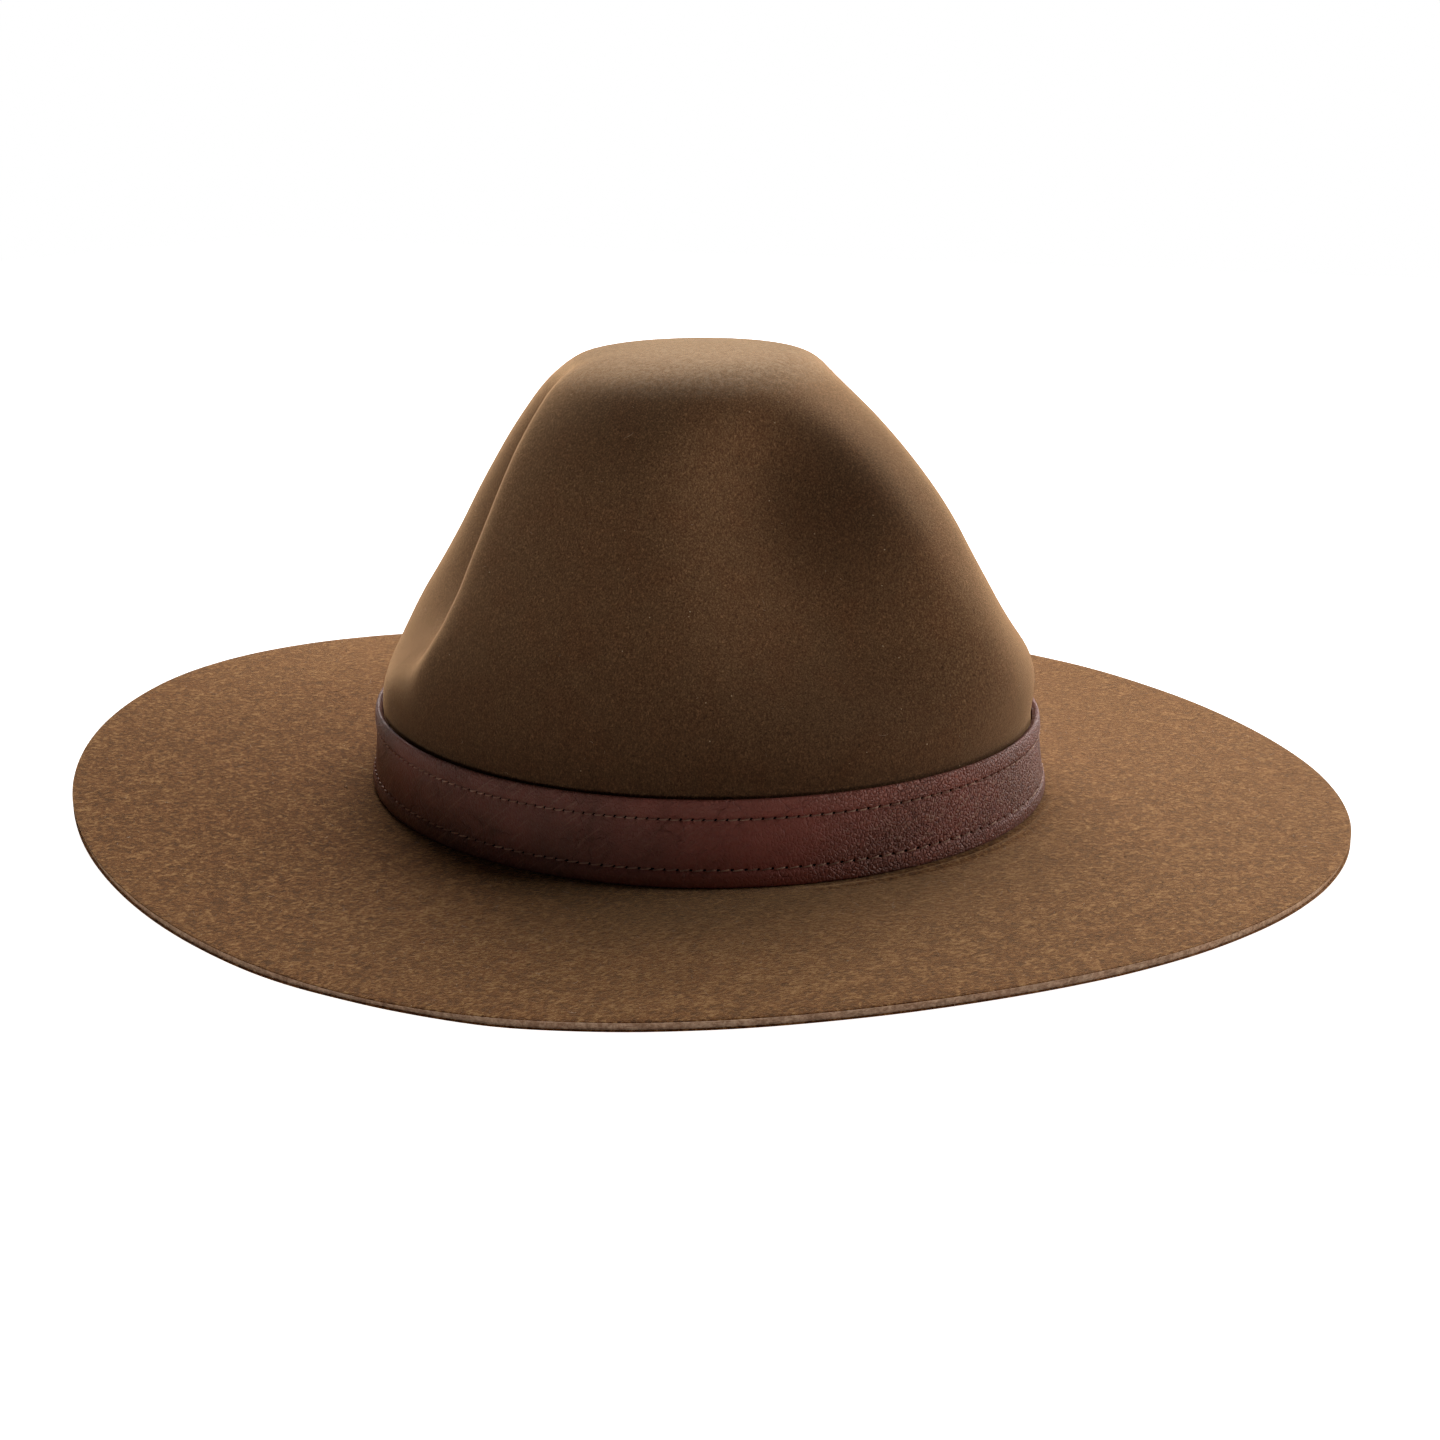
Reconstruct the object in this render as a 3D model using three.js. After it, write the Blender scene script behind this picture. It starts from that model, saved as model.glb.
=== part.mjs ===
// Campaign hat: a felt body with a four-dent peaked crown and a wide flat brim,
// and a leather band with rolled, stitched edges round the crown's foot.
// Millimetres. +Z up, the hat's front faces -Y, the wearer's left is +X.
import * as THREE from 'three';

// Head hollow, felt and crown
const HEAD_LENGTH = 192;
const HEAD_WIDTH = 169.4;
const CROWN_HEIGHT = 124.6;
const CROWN_FELT = 2.2;
const CROWN_TO_RIGHT = 2.8;
const CROWN_TO_FRONT = 2.3;

// Brim, measured from the crown's foot out to the cut edge
const BRIM_REACH_ENDS = 86;
const BRIM_REACH_SIDES = 84.2;
const BRIM_FELT = 2.5;
const EDGE_BEVEL = 0.4;
const FOOT_LIFT = 1.8;
const FOOT_LEAN_LEFT = 0.9;
const FOOT_LEAN_FRONT = 0.5;
const FOOT_SADDLE = 0.8;
const BRIM_WAVE = 12.7;
const REST_DIP = 0.6;
const FOOT_FILLET = 1.1;
const THROAT_ROUND = 2.4;

// Leather band
const BAND_HEIGHT = 22.5;
const BAND_THICKNESS = 2.2;
const CLEARANCE = 0.3;

// Facets round the hat, and rings up the crown above the band
const ROUND = 72;
const CROWN_RINGS = 17;

// Crown sections from foot to top: rise is a share of the crown's height;
// front, back and side are shares of the felt oval's half-sizes at the foot
const crownSections = [
  { rise: 0.0, front: 1.0, back: 1.0, side: 1.0 },
  { rise: 0.099, front: 0.985, back: 0.988, side: 0.984 },
  { rise: 0.188, front: 0.975, back: 0.984, side: 0.968 },
  { rise: 0.287, front: 0.984, back: 0.986, side: 0.956 },
  { rise: 0.382, front: 0.956, back: 0.943, side: 0.916 },
  { rise: 0.476, front: 0.895, back: 0.868, side: 0.856 },
  { rise: 0.57, front: 0.821, back: 0.793, side: 0.796 },
  { rise: 0.664, front: 0.745, back: 0.723, side: 0.733 },
  { rise: 0.763, front: 0.64, back: 0.64, side: 0.671 },
  { rise: 0.843, front: 0.538, back: 0.562, side: 0.606 },
  { rise: 0.907, front: 0.437, back: 0.489, side: 0.534 },
  { rise: 0.955, front: 0.35, back: 0.409, side: 0.447 },
  { rise: 0.983, front: 0.278, back: 0.33, side: 0.325 },
  { rise: 0.996, front: 0.158, back: 0.178, side: 0.192 },
  { rise: 1.0, front: 0, back: 0, side: 0 },
];

// Dents: at is degrees from the front towards the wearer's left; toEnd and toSide
// are the dent's half-spreads in degrees towards the hat's end and towards its side;
// rise, up and down are shares of the crown's height; depth is a share of head width;
// swing is how many degrees the dent's line turns over the whole height of the crown
const dents = [
  { at: -36, toEnd: 29, toSide: 38, rise: 0.59, up: 0.36, down: 0.36, depth: 0.087, swing: -22 },
  { at: 36, toEnd: 34, toSide: 36, rise: 0.64, up: 0.37, down: 0.37, depth: 0.08, swing: 16 },
  { at: -144, toEnd: 34, toSide: 22, rise: 0.55, up: 0.5, down: 0.34, depth: 0.105, swing: 0 },
  { at: 144, toEnd: 34, toSide: 30, rise: 0.56, up: 0.42, down: 0.36, depth: 0.09, swing: -8 },
];
const DENT_FLATNESS = 1.7;

// Height of the brim edge's underside round the hat, in shares of the brim wave;
// the low places share one level, so the hat stands on them
const brimWaves = [
  { at: -169, lift: 1.0 },
  { at: -85, lift: 0.0 },
  { at: -35, lift: 0.51 },
  { at: 41, lift: 0.0 },
  { at: 85, lift: 0.14 },
  { at: 124.5, lift: 0.0 },
];

// Brim rings: out is the share of the reach beyond the level ring under the band
const brimRings = [
  { out: 0.0 },
  { out: 0.24 },
  { out: 0.48 },
  { out: 0.68 },
  { out: 0.85 },
];

// Band profile, once round: up is a share of the band's height, out of its thickness
const bandProfile = [
  { up: 0.08, out: 0.0 },
  { up: 0.016, out: 0.34 },
  { up: 0.0, out: 0.64 },
  { up: 0.03, out: 0.93 },
  { up: 0.1, out: 1.0 },
  { up: 0.17, out: 0.95 },
  { up: 0.215, out: 0.74 },
  { up: 0.5, out: 0.76 },
  { up: 0.76, out: 0.74 },
  { up: 0.805, out: 0.95 },
  { up: 0.885, out: 1.0 },
  { up: 0.97, out: 0.9 },
  { up: 1.0, out: 0.55 },
  { up: 0.965, out: 0.1 },
  { up: 0.9, out: 0.0 },
  { up: 0.5, out: 0.0 },
];

// Heights of the felt rings behind the band, in shares of the band's height
const ringsBehindBand = [
  { up: 0.08 },
  { up: 0.5 },
  { up: 0.9 },
  { up: 1.06 },
];

const FOOT_LONG = HEAD_LENGTH / 2 + CROWN_FELT;
const FOOT_WIDE = HEAD_WIDTH / 2 + CROWN_FELT;
const EDGE_LONG = FOOT_LONG + BRIM_REACH_ENDS;
const EDGE_WIDE = FOOT_WIDE + BRIM_REACH_SIDES;
const LEDGE = FOOT_FILLET + BAND_THICKNESS + 2 * CLEARANCE;

const radians = (degrees) => degrees * Math.PI / 180;
const mix = (a, b, t) => a + (b - a) * t;
const smooth = (t) => t * t * (3 - 2 * t);
const turnBetween = (a, b) => (((a - b) % 360) + 540) % 360 - 180;

// Radius of an oval in a direction, its front and back halves of different length
function ovalRadius(front, back, side, angle) {
  const along = Math.cos(angle);
  const end = along >= 0 ? front : back;
  if (end < 1e-6 || side < 1e-6) return 0;
  return 1 / Math.hypot(along / end, Math.sin(angle) / side);
}

// Smooth curve through the crown sections; beyond the top it runs on mirrored
function crownSection(station) {
  const last = crownSections.length - 1;
  const first = Math.min(Math.floor(station), last - 1);
  const t = station - first;
  const pick = (row, column) => {
    if (row < 0) return 2 * crownSections[0][column] - crownSections[1][column];
    if (row <= last) return crownSections[row][column];
    const mirrored = crownSections[last - 1][column];
    return column === 'rise' ? mirrored : -mirrored;
  };
  const section = {};
  for (const column of ['rise', 'front', 'back', 'side']) {
    const a = pick(first - 1, column);
    const b = pick(first, column);
    const c = pick(first + 1, column);
    const d = pick(first + 2, column);
    const bend = (2 * a - 5 * b + 4 * c - d) * t * t + (3 * b - a - 3 * c + d) * t * t * t;
    section[column] = 0.5 * (2 * b + (c - a) * t + bend);
  }
  return section;
}

// Station of the crown at a height above the brim
function stationAt(height) {
  let low = 0;
  let high = crownSections.length - 2;
  for (let step = 0; step < 40; step += 1) {
    const middle = (low + high) / 2;
    if (crownSection(middle).rise * CROWN_HEIGHT < height) low = middle;
    else high = middle;
  }
  return (low + high) / 2;
}

function bell(share) {
  const held = Math.min(1, Math.abs(share));
  return 0.5 + 0.5 * Math.cos(Math.PI * held);
}

// How far the dents press the felt in at a direction and a rise
function dentDepth(degrees, rise) {
  let depth = 0;
  for (const dent of dents) {
    const line = dent.at + dent.swing * (rise - dent.rise);
    const turn = turnBetween(degrees, line);
    const towardsEnd = Math.abs(dent.at) < 90 ? -Math.sign(dent.at) : Math.sign(dent.at);
    const spread = turn * towardsEnd > 0 ? dent.toEnd : dent.toSide;
    const above = rise - dent.rise;
    const reach = above > 0 ? dent.up : dent.down;
    const height = Math.pow(Math.abs(above / reach), DENT_FLATNESS);
    depth += dent.depth * HEAD_WIDTH * bell(turn / spread) * bell(height);
  }
  return depth;
}

// Underside of the brim at the crown's foot
function footUnder(degrees) {
  const angle = radians(degrees);
  const lean = FOOT_LEAN_FRONT * Math.cos(angle) + FOOT_LEAN_LEFT * Math.sin(angle);
  return FOOT_LIFT + lean + FOOT_SADDLE * Math.cos(2 * angle);
}

// Underside of the brim at its cut edge, before it is pressed flat where it rests
function edgeUnder(degrees) {
  for (let row = 0; row < brimWaves.length; row += 1) {
    const here = brimWaves[row];
    const next = brimWaves[(row + 1) % brimWaves.length];
    const span = ((next.at - here.at) % 360 + 360) % 360;
    const turn = ((degrees - here.at) % 360 + 360) % 360;
    if (turn < span) {
      const lift = mix(here.lift, next.lift, smooth(turn / span));
      return lift * BRIM_WAVE - REST_DIP;
    }
  }
  return 0;
}

function place(degrees, radius, z) {
  const angle = radians(degrees);
  const x = radius * Math.sin(angle) - CROWN_TO_RIGHT;
  const y = -radius * Math.cos(angle) - CROWN_TO_FRONT;
  return new THREE.Vector3(x, y, z);
}

// Point on the crown's outer face
function crownPoint(station, degrees) {
  const section = crownSection(station);
  const angle = radians(degrees);
  const front = section.front * FOOT_LONG;
  const back = section.back * FOOT_LONG;
  const side = section.side * FOOT_WIDE;
  const plain = ovalRadius(front, back, side, angle);
  const hold = Math.min(1, plain / (0.3 * FOOT_LONG));
  const radius = plain - hold * dentDepth(degrees, section.rise);
  const settle = Math.max(0, 1 - section.rise / 0.65);
  const lean = FOOT_LEAN_FRONT * Math.cos(angle) * radius / FOOT_LONG
    + FOOT_LEAN_LEFT * Math.sin(angle) * radius / FOOT_WIDE;
  const saddle = FOOT_SADDLE * Math.cos(2 * angle) * settle;
  const z = FOOT_LIFT + BRIM_FELT + lean + saddle + section.rise * CROWN_HEIGHT;
  return place(degrees, radius, z);
}

// The same point moved in through the felt, square to the outer face
function crownInside(station, degrees) {
  const here = crownPoint(station, degrees);
  const upper = crownPoint(station + 0.1, degrees);
  const lower = crownPoint(Math.max(0, station - 0.1), degrees);
  const left = crownPoint(station, degrees + 2);
  const right = crownPoint(station, degrees - 2);
  const outward = left.sub(right).cross(upper.sub(lower)).normalize();
  return here.addScaledVector(outward, -CROWN_FELT);
}

function footRadius(degrees) {
  return ovalRadius(FOOT_LONG, FOOT_LONG, FOOT_WIDE, radians(degrees));
}

// Point on the brim: out runs from the level ring under the band to the cut edge
function brimPoint(degrees, out, top, inset, drop) {
  const angle = radians(degrees);
  const inner = place(degrees, footRadius(degrees) + LEDGE, 0);
  const edge = ovalRadius(EDGE_LONG, EDGE_LONG, EDGE_WIDE, angle) - inset;
  const outer = new THREE.Vector3(edge * Math.sin(angle), -edge * Math.cos(angle), 0);
  const point = inner.lerp(outer, out);
  const raw = mix(footUnder(degrees), edgeUnder(degrees), out);
  point.z = top ? raw + BRIM_FELT - drop : Math.max(0, raw) + drop;
  return point;
}

const directions = [];
for (let step = 0; step < ROUND; step += 1) directions.push(step * 360 / ROUND - 180);
const ringOf = (make) => directions.map((degrees) => make(degrees));

// Closed mesh from rings that follow one another; ends are closed to a point each,
// or the last ring joins the first when the rings go once round a profile
function shell(rings, startPoint, endPoint) {
  const positions = [];
  const faces = [];
  for (const ring of rings) {
    for (const point of ring) positions.push(point.x, point.y, point.z);
  }
  const count = rings.length;
  const pairs = startPoint ? count - 1 : count;
  for (let row = 0; row < pairs; row += 1) {
    const below = ((row + 1) % count) * ROUND;
    for (let step = 0; step < ROUND; step += 1) {
      const next = (step + 1) % ROUND;
      const a = row * ROUND + step;
      const b = row * ROUND + next;
      faces.push(a, below + step, b);
      faces.push(b, below + step, below + next);
    }
  }
  if (startPoint) {
    const start = positions.length / 3;
    positions.push(startPoint.x, startPoint.y, startPoint.z);
    positions.push(endPoint.x, endPoint.y, endPoint.z);
    for (let step = 0; step < ROUND; step += 1) {
      const next = (step + 1) % ROUND;
      faces.push(start, step, next);
      faces.push(start + 1, (count - 1) * ROUND + next, (count - 1) * ROUND + step);
    }
  }
  const geometry = new THREE.BufferGeometry();
  geometry.setAttribute('position', new THREE.Float32BufferAttribute(positions, 3));
  geometry.setIndex(faces);
  geometry.computeVertexNormals();
  return geometry;
}

// Felt body: over the crown, out along the brim, round its edge and back underneath
function feltBody() {
  const top = crownSections.length - 1;
  const behindBand = ringsBehindBand.map((row) => stationAt(row.up * BAND_HEIGHT + CLEARANCE));
  const bandTop = behindBand[behindBand.length - 1];
  const above = [];
  for (let ring = 1; ring <= CROWN_RINGS; ring += 1) {
    above.push(mix(bandTop, top, ring / (CROWN_RINGS + 1)));
  }
  const stations = [...behindBand, ...above].reverse();
  const rings = [];
  for (const station of stations) {
    rings.push(ringOf((degrees) => crownPoint(station, degrees)));
  }

  // small fillet where the crown turns out into the brim
  const footTop = (degrees) => footUnder(degrees) + BRIM_FELT;
  const fillet = (out, up) => ringOf((degrees) => {
    const radius = footRadius(degrees) + out * FOOT_FILLET;
    return place(degrees, radius, footTop(degrees) + up * FOOT_FILLET);
  });
  rings.push(fillet(0.3, 0.3));
  rings.push(fillet(1, 0));
  for (const row of brimRings) {
    rings.push(ringOf((degrees) => brimPoint(degrees, row.out, true, 0, 0)));
  }

  // raw cut edge with its corners just broken
  rings.push(ringOf((degrees) => brimPoint(degrees, 1, true, EDGE_BEVEL, 0)));
  rings.push(ringOf((degrees) => brimPoint(degrees, 1, true, 0, EDGE_BEVEL)));
  rings.push(ringOf((degrees) => brimPoint(degrees, 1, false, 0, EDGE_BEVEL)));
  rings.push(ringOf((degrees) => brimPoint(degrees, 1, false, EDGE_BEVEL, 0)));
  for (const row of [...brimRings].reverse()) {
    rings.push(ringOf((degrees) => brimPoint(degrees, row.out, false, 0, 0)));
  }

  // rounded throat where a head goes in
  const throat = (out, up) => ringOf((degrees) => {
    const radius = footRadius(degrees) - CROWN_FELT + out * THROAT_ROUND;
    return place(degrees, radius, footUnder(degrees) + up * THROAT_ROUND);
  });
  rings.push(throat(0.8, 0));
  rings.push(throat(0.25, 0.25));
  const inner = [...stations].reverse().filter((station, row) => row !== 0 && row % 3 !== 0);
  for (const station of inner) {
    rings.push(ringOf((degrees) => crownInside(station, degrees)));
  }
  const outerTop = crownPoint(top, 0);
  const innerTop = outerTop.clone();
  innerTop.z -= CROWN_FELT;
  return shell(rings, outerTop, innerTop);
}

// Leather band: its profile is swept round the crown, just clear of the felt
function hatBand() {
  const downwards = [...bandProfile].reverse();
  const rings = downwards.map((row) => {
    const height = CLEARANCE + row.up * BAND_HEIGHT;
    const station = stationAt(height);
    return ringOf((degrees) => {
      const felt = crownPoint(station, degrees);
      const angle = radians(degrees);
      const off = CLEARANCE + row.out * BAND_THICKNESS;
      felt.x += off * Math.sin(angle);
      felt.y -= off * Math.cos(angle);
      return felt;
    });
  });
  return shell(rings, null, null);
}

const feltMaterial = new THREE.MeshStandardMaterial({
  color: 0x5a3f28,
  roughness: 0.95,
  metalness: 0,
});
feltMaterial.name = 'brown_felt';
const leatherMaterial = new THREE.MeshStandardMaterial({
  color: 0x47292a,
  roughness: 0.5,
  metalness: 0,
});
leatherMaterial.name = 'dark_leather';

const hat = new THREE.Group();
hat.name = 'campaign_hat';

const felt = new THREE.Mesh(feltBody(), feltMaterial);
felt.name = 'felt_body';
hat.add(felt);

const band = new THREE.Mesh(hatBand(), leatherMaterial);
band.name = 'hat_band';
hat.add(band);

export default hat;
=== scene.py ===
import math
import random

import bpy
import numpy as np
from mathutils import Matrix, Vector
from mathutils.bvhtree import BVHTree


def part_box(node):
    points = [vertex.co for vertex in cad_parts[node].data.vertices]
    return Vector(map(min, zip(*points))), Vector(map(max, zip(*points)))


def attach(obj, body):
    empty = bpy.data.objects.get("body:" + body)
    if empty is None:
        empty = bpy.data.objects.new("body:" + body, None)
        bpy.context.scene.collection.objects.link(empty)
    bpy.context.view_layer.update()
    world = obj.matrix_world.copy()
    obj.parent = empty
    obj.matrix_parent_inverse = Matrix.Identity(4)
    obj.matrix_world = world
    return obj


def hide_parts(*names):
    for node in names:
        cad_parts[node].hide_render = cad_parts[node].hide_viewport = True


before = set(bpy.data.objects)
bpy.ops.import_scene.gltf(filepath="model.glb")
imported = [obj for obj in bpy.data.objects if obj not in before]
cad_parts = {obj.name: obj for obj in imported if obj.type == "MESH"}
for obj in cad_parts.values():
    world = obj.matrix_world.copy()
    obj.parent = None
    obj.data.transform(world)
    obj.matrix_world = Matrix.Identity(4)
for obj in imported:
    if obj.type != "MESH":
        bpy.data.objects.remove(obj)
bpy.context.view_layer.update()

MM = 0.001
TURN = 2 * math.pi

# Camera of the photograph: where it stands, what it looks at, its roll and its lens
EYE = Vector((-0.4951, -0.2920, 0.1952))
AIM = Vector((0.00268, -0.00464, 0.01892))
ROLL = math.radians(-0.48)
LENS = 51.13
SENSOR = 36.0

# From CAD triangles to a skin of quads
MERGE_GAP = 0.01 * MM
QUAD_REGULARITY = 2.0
SMOOTHING_TRIES = 2

# Felt body: the cut edge is the outermost share of the brim, and keeps its corners
FELT_LEVELS = 2
CORNER_START = 0.9995
CORNER_SLOPE = 0.5
CUT_EDGE_CREASE = 0.75
CUT_EDGE_START = 0.985
# Beyond this share, faces under the cut edge take its pale felt too: painted light where they lie
# in shade
CUT_EDGE_PAINTED_UNDER = 0.993
CUT_EDGE_STEEP = 0.7
FELT_UNEVENNESS = 0.35 * MM
UNEVEN_SIZE = 40 * MM
CROWN_CENTRE = Vector((-2.8, -2.3, 4.3)) * MM
CROWN_HEIGHT = 124.6 * MM

# Crisp lip of the rear right dent: share of the crown's height, and degrees from the front
LIP_LINE = (
    (0.30, -139.0),
    (0.35, -129.0),
    (0.43, -124.0),
    (0.51, -122.5),
    (0.59, -123.0),
    (0.76, -123.5),
    (0.83, -124.5),
    (0.89, -126.5),
    (0.93, -130.0),
    (0.97, -135.0),
)

# The lip is pressed flatter, and a groove runs behind it. Going up the crown, both set in
# between 0.3 and 0.42 of its height, and end between 0.86 and 0.96 of it
LIP_PRESSED = 0.6 * MM
LIP_WIDTH = 4.5
GROOVE_BEHIND = 5.4
GROOVE_WIDTH = 4.2
GROOVE_DEPTH = 3.0 * MM
LIP_FADE_IN = (0.3, 0.42)
LIP_FADE_OUT = (0.96, 0.86)

# Where the skin gets finer for the lip: middle and half-width in degrees past it, and its rise
LIP_FINE_MIDDLE = -2
LIP_FINE_HALF = 11
LIP_FINE_RISE = (0.28, 0.97)

# Soft knee where that dent ends
KNEE_AT = -140.0
KNEE_WIDTH = 9.0
KNEE_RISE = 0.29
KNEE_TALL = 0.07
KNEE_PROUD = 2.6 * MM

# Thin roll of felt that the band pushes up beside it, at the front right, with a dip behind it
ROLL_GAP = 2.6 * MM
ROLL_WIDTH = 0.9 * MM
ROLL_HEIGHT = 0.7 * MM
ROLL_AT = -12.0
ROLL_SPREAD = 34.0
ROLL_FINE = 3.2
ROLL_CUTS = 3
DIP_SHARE = 0.6
DIP_BEHIND = 1.6
BRIM_TOP = 12 * MM
FACING_UP = 0.5

# Felt's pile: curled strands hang on the steep crown and lie both ways on the brim, where they
# are drawn 0.6 mm wide and 2.4 mm long so that they show from low down. Each has its sizes
# along X, Y and Z, and its turn in degrees
CURL_SIZE = 2.2 * MM
CURL_REACH = 1.6 * MM
STRANDS = {
    "hung": ((0.3 * MM, 0.3 * MM, 1.2 * MM), 0),
    "across": ((0.6 * MM, 2.4 * MM, 0.6 * MM), 62),
    "over": ((0.6 * MM, 2.4 * MM, 0.6 * MM), 17),
}
CROWN_TUFT = 0.5 * MM
BRIM_TUFT = 1.4 * MM
DRIFT_SIZE = 4.5 * MM
BRIM_BELOW = 21 * MM
CROWN_ABOVE = 26 * MM

# Height of the pile on the crown, and how many times higher it stands on the brim
PILE_HEIGHT = 0.35 * MM
BRIM_PILE = 1.4

# Shades of the felt, from the roots of the pile to its tips
CROWN_SHADES = ("#2c1b10", "#66482f", "#a67d58")
BRIM_SHADES = ("#3f210b", "#673b16", "#9b7348")
# The cut edge's felt is paler, and its shades are lighter still to stand for the light it catches:
# partly painted light
EDGE_SHADES = ("#7b604c", "#937761", "#ab8f77")

# Colour of the felt: redder patches, and the heights between which the crown darkens to its foot
PATCH_SIZE = 12 * MM
FOOT_DARK_FROM = 62 * MM
FOOT_DARK_TO = 30 * MM

# Painted shade in the front dents: its middle sideways from the crown's middle, and its place
# along and up. The shade is darkest at the core, and gone beyond the reach
DENT_SHADE_AT = Vector((19, -62, 97)) * MM
DENT_SHADE_REACH = 50 * MM
DENT_SHADE_CORE = 8 * MM
DENT_SHADE_RAGGED = 14 * MM

# Painted light on the flat top: heights between which it is painted paler, and how far
TOP_LIGHT_FROM = 121 * MM
TOP_LIGHT_TO = 132 * MM
TOP_LIGHT_RAGGED = 4 * MM
TOP_LIGHT_SHARE = 0.5

# Pale flecks: how far apart they lie, and their size as a share of that
FLECK_SPACING = 5.5 * MM
FLECK_SIZE = 0.03

# Band and its stitches
BAND_LEVELS = 2
BAND_BINS = 96
FACETS_ROUND = 72
UPPER_STITCHES = 192
LOWER_STITCHES = 168
CUTS_PER_FACET = 3
UPPER_ROW = 0.775
LOWER_ROW = 0.205
ROW_HALF_WIDTH = 0.019
HOLE_REACH = 1.05
HOLE_INSET = 0.08 * MM
HOLE_DEPTH = 0.4 * MM
FACING_OUT = 0.2
THREAD = 0.4 * MM
THREAD_SIDES = 6
THREAD_WEAR_SIZE = 6 * MM
PLY_SIZE = 0.25 * MM
PLY_DEPTH = 0.06 * MM
STITCH_SLANT = math.radians(9)
STITCH_SHARE = 0.8

COLUMN = TURN / (FACETS_ROUND * 2 ** BAND_LEVELS * (CUTS_PER_FACET + 1))
BAND_RADIUS = 97 * MM
OUTSIDE_BAND = 200 * MM

# One stitch from hole to hole: place as a share of its length, rise, and share of its width
STITCH_SHAPE = (
    (-0.5, -0.35 * MM, 0.7),
    (-0.25, 0.1 * MM, 0.9),
    (0.0, 0.12 * MM, 0.9),
    (0.25, 0.3 * MM, 1.1),
    (0.5, -0.35 * MM, 0.7),
)

# Share of a stitch's length within which the points of one ring of it lie
STITCH_RING = 1 / 12

# Leather: run of the band from the hat's front, towards its left, where its colour and grain change
COARSE_FROM = -75 * MM
COARSE_TO = -40 * MM
FINE_FROM = 45 * MM
FINE_TO = 90 * MM
RED_AT = -92 * MM
RED_SPREAD = 46 * MM
SCUFF_FROM = -150 * MM
SCUFF_TO = -90 * MM

# Field between the two rows of stitches: its middle above the band's lower edge, half its
# height, and how softly it ends
FIELD_MIDDLE = 11.0 * MM
FIELD_HALF = 6.6 * MM
FIELD_BLEND = 2 * MM

# Leather's patterns: sizes, and how far they wander; long ones lean by some degrees
DYE_SIZE = 34 * MM
SMUDGE_SIZE = 9 * MM
STIR_SIZE = 1.6 * MM
PEBBLE_WANDER = 0.8 * MM
PEBBLE_SIZE = 1.05 * MM
PEBBLE_VALLEY = 0.22
WRINKLE_WANDER = 0.4 * MM
WRINKLE_SIZE = (3.6 * MM, 1.1 * MM, 1)
WRINKLE_LEAN = 30
CREASE_BEND = 5 * MM
CREASE_WANDER = 7 * MM
CREASE_SIZE = 7.5 * MM
CREASE_WIDTH = 0.045
CREASED_AREA = 22 * MM
SCUFF_SIZE = (12 * MM, 0.6 * MM, 1)
SCUFF_LEAN = 36
GRAIN_DEPTH = 0.4 * MM
HOLE_SHADE_FUZZ_SIZE = 0.3 * MM

# Painted highlight and painted shade on the wrinkles: strength of the noise where each starts and
# where it is full, share, colour
WRINKLE_LIGHT_AND_SHADE = ((0.51, 0.66, 0.55, "#ab8472"), (0.47, 0.34, 0.5, "#35201b"))

# Loose fibres on the felt: bow and lift are shares of a fibre's length, and long ones are rarer
# the higher FIBRE_LONG_RARE is
FIBRES = 2400
FIBRE_SEED = 7
FIBRE_SIDES = 3
FIBRE_THICK = 0.045 * MM
FIBRE_SHORT = 0.7 * MM
FIBRE_LONG = 3.2 * MM
FIBRE_LONG_RARE = 4
FIBRE_BOW = 0.35
FIBRE_LIFT = (0.1, 0.9)
FIBRE_LIFT_MOST = 1.2 * MM
FIBRE_TAPER = 0.7
FIBRE_DYE_SIZE = 11 * MM
FIBRE_FACING_UP = 0.05
FIBRE_ABOVE = 1.5 * MM
CROWN_FROM = 24 * MM
CROWN_FIBRES = 0.12

# Cuts along a rod that is bent, as the stitches and the loose fibres are
ROD_CUTS = 3

# Studio. Soft boxes: place as the camera sees it, to the right, away and up; size; watts
FLOOR_SIZE = 3.6
FLOOR_GLOW = 1.0
FLOOR_LIGHT = 0.95
WORLD_LIGHT = 0.02
LAMP_AIM = Vector((0, 0, 0.05))
SOFT_BOXES = (
    ("back_high", (0.08, 1.0, 1.0), (1.4, 0.8), 33.4),
    ("back_low", (0.1, 1.2, 0.35), (1.2, 0.6), 0.5),
    ("back_low_right", (1.0, 0.9, 0.35), (1.0, 0.6), 4.5),
    ("right_side", (1.2, 0, 0.5), (0.8, 0.8), 7.0),
)


# Meshes

def only(piece):
    """Deselects everything, then selects this piece and makes it active."""
    bpy.ops.object.select_all(action="DESELECT")
    piece.select_set(True)
    bpy.context.view_layer.objects.active = piece


def values(mesh, kind, name, width, dtype=np.float32):
    """One property of all vertices, edges, faces or corners, as an array."""
    items = getattr(mesh, kind)
    found = np.zeros(len(items) * width, dtype)
    items.foreach_get(name, found)
    return found.reshape(-1, width) if width > 1 else found


def choose(piece, kind, chosen):
    """Selects the chosen vertices, edges or faces, and nothing else, and enters edit mode."""
    mesh = piece.data
    for part in ("vertices", "edges", "polygons"):
        flags = chosen if part == kind else np.zeros(len(getattr(mesh, part)), bool)
        getattr(mesh, part).foreach_set("select", flags)
    bpy.context.tool_settings.mesh_select_mode = [
        kind == part for part in ("vertices", "edges", "polygons")
    ]
    bpy.ops.object.mode_set(mode="EDIT")


def leave():
    bpy.ops.object.mode_set(mode="OBJECT")


def apply_modifier(piece, kind, **settings):
    only(piece)
    modifier = piece.modifiers.new(kind.lower(), kind)
    for name, value in settings.items():
        setattr(modifier, name, value)
    bpy.ops.object.modifier_apply(modifier=modifier.name)


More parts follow.
